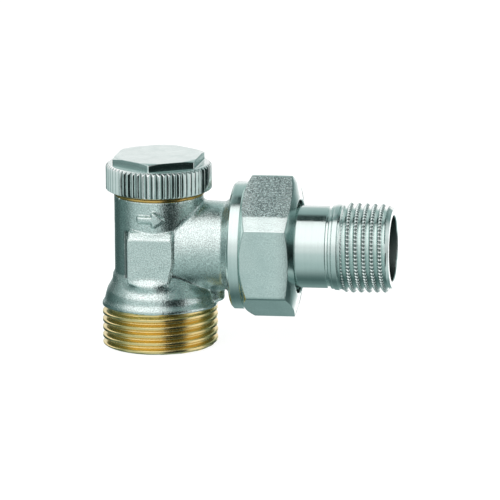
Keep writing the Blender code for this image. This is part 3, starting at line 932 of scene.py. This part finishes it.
collar = rounded([(13.15, 17.8), (13.4, 17.25, 0.15), (13.9, 17.2, 0.12), (14.4, 17.7, 0.15), (14.4, 19.9, 0.12), (14.05, 20.25, 0.1), (14.05, 20.31)], closed=False)
rows = [(r, h) for r, h in collar]
kinds = [0] * len(rows)
rows += [
    (14.3, 20.31),
    (14.5, 20.32),
    (nut_r - 0.10, nut_left(nut_r - 0.10)),
    (nut_r - 0.03, nut_left(nut_r) + 0.0),
    (nut_r, nut_left(nut_r) + 0.08),
    (nut_r, nut_left(nut_r) * 0.67 + nut_right(nut_r) * 0.33),
    (nut_r, nut_left(nut_r) * 0.33 + nut_right(nut_r) * 0.67),
    (nut_r, nut_right(nut_r) - 0.08),
    (nut_r - 0.03, nut_right(nut_r)),
    (nut_r - 0.10, nut_right(nut_r - 0.10)),
    (14.4, 31.43),
    (13.2, nut_right(np.array(13.2))),
    (12.0, nut_right(np.array(12.0))),
]
kinds += [2, 2, 2, 1, 1, 1, 1, 1, 2, 2, 2, 2, 2]
lip = rounded([(11.6, 32.04), (10.95, 32.18, 0.12), (10.6, 32.05, 0.1), (10.6, 29.2), (13.15, 29.2)], closed=False)
rows += list(lip)
kinds += [0] * len(lip)
nut = revolve("hexagon_union_nut", [r for r, _ in rows], [h for _, h in rows], NUT_COLS, [m_nut, m_flat, m_nut_end], "X", closed=True, row_mats=kinds, sharp=30)

# ---------------------------------------------------------------- tailpiece

BEADS = 68


def tail_radius(x, angle):
    crest = 10.25 - (x - 41.3) * 0.022
    phase = x / PITCH - angle / TAU + 0.10
    wave = 0.5 + 0.5 * np.cos(TAU * phase)
    shape = wave**0.72
    bead = np.abs((angle / TAU * BEADS) % 1.0 - 0.5) * 2
    gap = np.clip((bead - 0.30) / 0.42, 0, 1)
    gap = gap * gap * (3 - 2 * gap)
    tip = np.clip((shape - 0.66) / 0.2, 0, 1)
    full = crest - 1.15 * (1 - shape) - (0.36 * gap + 0.06 * bead**2) * tip
    end = 8.85 + np.clip((53.5 - x) / 1.0, 0, 1.8) * 0.75
    start = 9.62 + np.clip((x - 42.4) / 1.3, 0, 1) * 1.0
    return np.minimum(np.minimum(full, end), start)


tail = helical(
    "threaded_tailpiece",
    [(7.62, 53.5, 0.1), (7.5, 53.3, 0.08), (7.5, 27.0, 0.3), (6.5, 24.0), (6.5, 23.1), (7.6, 23.4), (8.1, 24.2), (7.75, 24.45), (7.82, 25.6), (8.75, 25.8)],
    [
        (9.1, 26.4),
        (9.4, 26.8),
        (12.6, 26.8, 0.1),
        (12.8, 27.0, 0.1),
        (12.8, 28.8, 0.1),
        (12.6, 29.0, 0.1),
        (10.2, 29.0, 0.2),
        (9.3, 30.0, 0.4),
        (9.3, 38.95, 0.08),
        (8.9, 39.05, 0.04),
        (8.9, 39.5, 0.04),
        (9.42, 39.75, 0.08),
        (9.46, 40.25, 0.06),
        (9.40, 40.35, 0.04),
        (9.66, 40.5, 0.12),
        (9.72, 41.6, 0.12),
        (9.46, 41.75, 0.06),
        (9.42, 42.0, 0.05),
    ],
    42.3,
    53.5,
    tail_radius,
    PITCH,
    BEADS * 7,
    14,
    [m_tail, m_bore_shade, m_serrated],
    axis="X",
    sharp=38,
    slot_at=lambda r, h: 1 if r < 7.6 and h < 53.25 else 2 if r < 9.26 and 38.8 < h < 39.8 else 0,
    thread_slot=2,
)


def lug(name, side):
    """A driving lug on the wall of the tailpiece's bore."""
    shape = bmesh.new()
    bmesh.ops.create_cube(shape, size=1.0)
    bmesh.ops.scale(shape, verts=shape.verts, vec=(5.0 * MM, 2.4 * MM, 1.6 * MM))
    bmesh.ops.bevel(shape, geom=shape.edges[:] + shape.verts[:], offset=0.35 * MM, segments=3, affect="EDGES", profile=0.5)
    bmesh.ops.translate(shape, verts=shape.verts, vec=(48.4 * MM, 0, (UZ + side * 7.1) * MM))
    mesh = bpy.data.meshes.new(name)
    shape.to_mesh(mesh)
    shape.free()
    mesh.materials.append(m_tail)
    mesh.shade_smooth()
    mesh.set_sharp_from_angle(angle=math.radians(40))
    obj = bpy.data.objects.new(name, mesh)
    bpy.context.scene.collection.objects.link(obj)
    return obj


lugs = [lug("tail_lug_upper", 1), lug("tail_lug_lower", -1)]

# ---------------------------------------------------------------- what rides on what

for piece, body_name, node, slot in (
    (body, "body", "valve_body", "blasted_nickel"),
    (inlet, "body", "valve_body", "brass"),
    (union, "body", "valve_body", "brass"),
    (bonnet, "body", "bonnet", "brass"),
    (cap, "cap", "protective_cap", "nickel_cap"),
    (nut, "nut", "union_nut", "polished_nickel"),
    (tail, "tail", "tailpiece", "polished_tail"),
    (lugs[0], "tail", "tailpiece", "polished_tail"),
    (lugs[1], "tail", "tailpiece", "polished_tail"),
):
    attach(piece, body_name)
    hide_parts(node)

for node, mat in {
    "bonnet_seal": m_rubber,
    "spindle_stop_ring": m_steel,
    "cap_seal": m_rubber,
    "valve_disc": m_disc,
    "disc_clip": m_steel,
    "disc_seal": m_rubber,
    "disc_washer": m_steel,
    "disc_screw": m_steel,
    "spindle": m_steel,
    "spindle_o_ring_upper": m_rubber,
    "spindle_o_ring_lower": m_rubber,
    "union_o_ring": m_rubber,
}.items():
    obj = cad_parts[node]
    if not obj.data.materials:
        obj.data.materials.append(None)
    for slot in obj.material_slots:
        slot.link = "OBJECT"
        slot.material = mat

# ---------------------------------------------------------------- floor, light, camera


def floor():
    mesh = bpy.data.meshes.new("floor")
    size = 40.0
    mesh.from_pydata([(-size, -size, -0.00002), (size, -size, -0.00002), (size, size, -0.00002), (-size, size, -0.00002)], [], [(0, 1, 2, 3)])
    obj = bpy.data.objects.new("studio_floor", mesh)
    bpy.context.scene.collection.objects.link(obj)
    mat = bpy.data.materials.new("pale_floor")
    mat.use_nodes = True
    tree = mat.node_tree
    tree.nodes.clear()
    out = tree.nodes.new("ShaderNodeOutputMaterial")
    add = tree.nodes.new("ShaderNodeAddShader")
    glow = tree.nodes.new("ShaderNodeEmission")
    glow.inputs["Color"].default_value = (1, 1, 1, 1)
    glow.inputs["Strength"].default_value = 0.9
    matte = tree.nodes.new("ShaderNodeBsdfDiffuse")
    matte.inputs["Color"].default_value = (0.3, 0.3, 0.3, 1)
    tree.links.new(glow.outputs[0], add.inputs[0])
    tree.links.new(matte.outputs[0], add.inputs[1])
    tree.links.new(add.outputs[0], out.inputs["Surface"])
    mesh.materials.append(mat)
    obj.visible_glossy = False
    obj.visible_diffuse = False


# Brightness round the studio, by height above the horizon in degrees. Azimuth 0 is towards the camera's side, + to the right.
W = (1.0, 1.0, 1.0)


def grey(v, teal=0.0):
    """The studio's light runs from a green-blue in its dark parts to white."""
    warm = min(1.0, v / 1.05)
    return (v * (0.54 + 0.50 * warm), v, v * (0.95 + 0.05 * warm))


STUDIO = [
    (-90, [(-180, grey(0.16, 0.6)), (180, grey(0.16, 0.6))]),
    (
        -42,
        [
            (-180, grey(0.36)),
            (-150, grey(0.26)),
            (-120, grey(0.10, 1.0)),
            (-85, grey(0.18, 0.7)),
            (-55, grey(0.50, 0.4)),
            (5, grey(0.60, 0.3)),
            (22, grey(0.09, 1.0)),
            (50, grey(0.07, 1.0)),
            (68, grey(0.75, 0.3)),
            (95, grey(0.60, 0.3)),
            (120, grey(0.30, 0.5)),
            (180, grey(0.36)),
        ],
    ),
    (
        -14,
        [
            (-180, grey(0.27)),
            (-158, grey(0.30)),
            (-146, grey(0.10)),
            (-118, grey(0.10)),
            (-104, grey(0.25)),
            (-84, grey(0.15)),
            (-60, grey(0.60, 0.3)),
            (8, grey(0.72, 0.2)),
            (20, grey(0.015, 1.0)),
            (58, grey(0.015, 1.0)),
            (72, grey(0.95)),
            (94, grey(1.0)),
            (114, grey(0.30, 0.5)),
            (136, grey(0.06, 0.5)),
            (150, grey(0.05)),
            (160, grey(0.3)),
            (164, grey(0.7)),
            (167, grey(0.85)),
            (171.6, grey(1.55)),
            (180, grey(1.55)),
        ],
    ),
    (
        8,
        [
            (-180, grey(1.12)),
            (-156, grey(0.9)),
            (-140, grey(0.12, 0.9)),
            (-98, grey(0.12, 0.9)),
            (-74, grey(0.35, 0.5)),
            (-52, grey(0.9)),
            (10, grey(0.95)),
            (22, grey(0.03, 1.0)),
            (58, grey(0.03, 1.0)),
            (72, grey(0.95)),
            (98, grey(1.1)),
            (122, grey(0.25, 0.4)),
            (152, grey(0.10)),
            (164, grey(0.35)),
            (172, grey(1.1)),
            (180, grey(1.1)),
        ],
    ),
    (
        30,
        [
            (-180, grey(0.62)),
            (-162, grey(0.62)),
            (-150, grey(1.15)),
            (-124, grey(1.15)),
            (-108, grey(0.45)),
            (-85, grey(0.6, 0.3)),
            (-60, grey(1.35)),
            (10, grey(1.35)),
            (26, grey(0.25, 0.5)),
            (62, grey(0.25, 0.5)),
            (80, grey(0.9)),
            (98, grey(0.9)),
            (130, grey(0.32)),
            (180, grey(0.62)),
        ],
    ),
    (
        60,
        [
            (-180, grey(0.46)),
            (-160, grey(0.46)),
            (-142, grey(0.8)),
            (-120, grey(0.7)),
            (-100, grey(0.2)),
            (-78, grey(0.9)),
            (-55, grey(1.4)),
            (20, grey(1.4)),
            (46, grey(0.4)),
            (100, grey(0.12, 0.6)),
            (180, grey(0.46)),
        ],
    ),
    (
        72,
        [
            (-180, grey(0.04)),
            (-160, grey(0.04)),
            (-140, grey(0.35)),
            (-105, grey(0.30)),
            (-70, grey(1.35)),
            (40, grey(1.35)),
            (75, grey(0.04, 1.0)),
            (180, grey(0.04, 1.0)),
        ],
    ),
    (
        85,
        [
            (-180, grey(0.03, 1.0)),
            (-95, grey(0.03, 1.0)),
            (-55, grey(1.2)),
            (30, grey(1.2)),
            (70, grey(0.03, 1.0)),
            (180, grey(0.03, 1.0)),
        ],
    ),
    (90, [(-180, grey(0.25)), (180, grey(0.25))]),
]


def studio():
    world = bpy.data.worlds.new("studio")
    bpy.context.scene.world = world
    world.use_nodes = True
    tree = world.node_tree
    back = tree.nodes["Background"]
    out = tree.nodes["World Output"]

    def calc(op, a, b=None):
        node = tree.nodes.new("ShaderNodeMath")
        node.operation = op
        for k, v in enumerate((a, b)):
            if v is None:
                continue
            if isinstance(v, bpy.types.NodeSocket):
                tree.links.new(v, node.inputs[k])
            else:
                node.inputs[k].default_value = v
        return node.outputs[0]

    coord = tree.nodes.new("ShaderNodeTexCoord")
    parts = tree.nodes.new("ShaderNodeSeparateXYZ")
    tree.links.new(coord.outputs["Generated"], parts.inputs[0])
    x, y, z = parts.outputs
    azimuth = calc("ADD", calc("DIVIDE", calc("ARCTAN2", x, calc("MULTIPLY", y, -1.0)), TAU), 0.5)
    height = calc("MULTIPLY", calc("ARCSINE", z), 180 / math.pi)
    colour = None
    for k, (level, stops) in enumerate(STUDIO):
        node = tree.nodes.new("ShaderNodeValToRGB")
        node.color_ramp.interpolation = "EASE"
        for i, (a, c) in enumerate(stops):
            e = node.color_ramp.elements[i] if i < 2 else node.color_ramp.elements.new(a / 360 + 0.5)
            e.position, e.color = a / 360 + 0.5, (*c, 1)
        tree.links.new(azimuth, node.inputs[0])
        if colour is None:
            colour = node.outputs[0]
            continue
        step = tree.nodes.new("ShaderNodeMapRange")
        step.interpolation_type = "SMOOTHSTEP"
        tree.links.new(height, step.inputs[0])
        step.inputs[1].default_value, step.inputs[2].default_value = STUDIO[k - 1][0], level
        blend = tree.nodes.new("ShaderNodeMix")
        blend.data_type = "RGBA"
        tree.links.new(step.outputs[0], blend.inputs["Factor"])
        sockets = [s for s in blend.inputs if s.type == "RGBA"]
        tree.links.new(colour, sockets[0])
        tree.links.new(node.outputs[0], sockets[1])
        colour = [s for s in blend.outputs if s.type == "RGBA"][0]
    tree.links.new(colour, back.inputs["Color"])
    back.inputs["Strength"].default_value = 1.0
    plain = tree.nodes.new("ShaderNodeBackground")
    plain.inputs["Color"].default_value = (1, 1, 1, 1)
    plain.inputs["Strength"].default_value = 1.0
    path = tree.nodes.new("ShaderNodeLightPath")
    pick = tree.nodes.new("ShaderNodeMixShader")
    tree.links.new(path.outputs["Is Camera Ray"], pick.inputs[0])
    tree.links.new(back.outputs[0], pick.inputs[1])
    tree.links.new(plain.outputs[0], pick.inputs[2])
    tree.links.new(pick.outputs[0], out.inputs["Surface"])


def camera():
    azimuth, elevation, roll, distance = 8.4, 13.35, -0.6, 3.0
    target = Vector((0.02071, 0.0, 0.02208))
    a, e = math.radians(azimuth), math.radians(elevation)
    back = Vector((math.sin(a) * math.cos(e), -math.cos(a) * math.cos(e), math.sin(e)))
    data = bpy.data.cameras.new("camera")
    obj = bpy.data.objects.new("camera", data)
    bpy.context.scene.collection.objects.link(obj)
    obj.rotation_mode = "QUATERNION"
    obj.location = target + back * distance
    obj.rotation_quaternion = back.to_track_quat("Z", "Y") @ Quaternion((0, 0, 1), math.radians(roll))
    data.sensor_width = 36.0
    data.lens = 13240 * 36 / 500
    data.clip_start, data.clip_end = 0.05, 200.0
    bpy.context.scene.camera = obj


floor()
studio()
camera()
bpy.context.scene.view_settings.view_transform = "Standard"
bpy.context.scene.view_settings.look = "None"
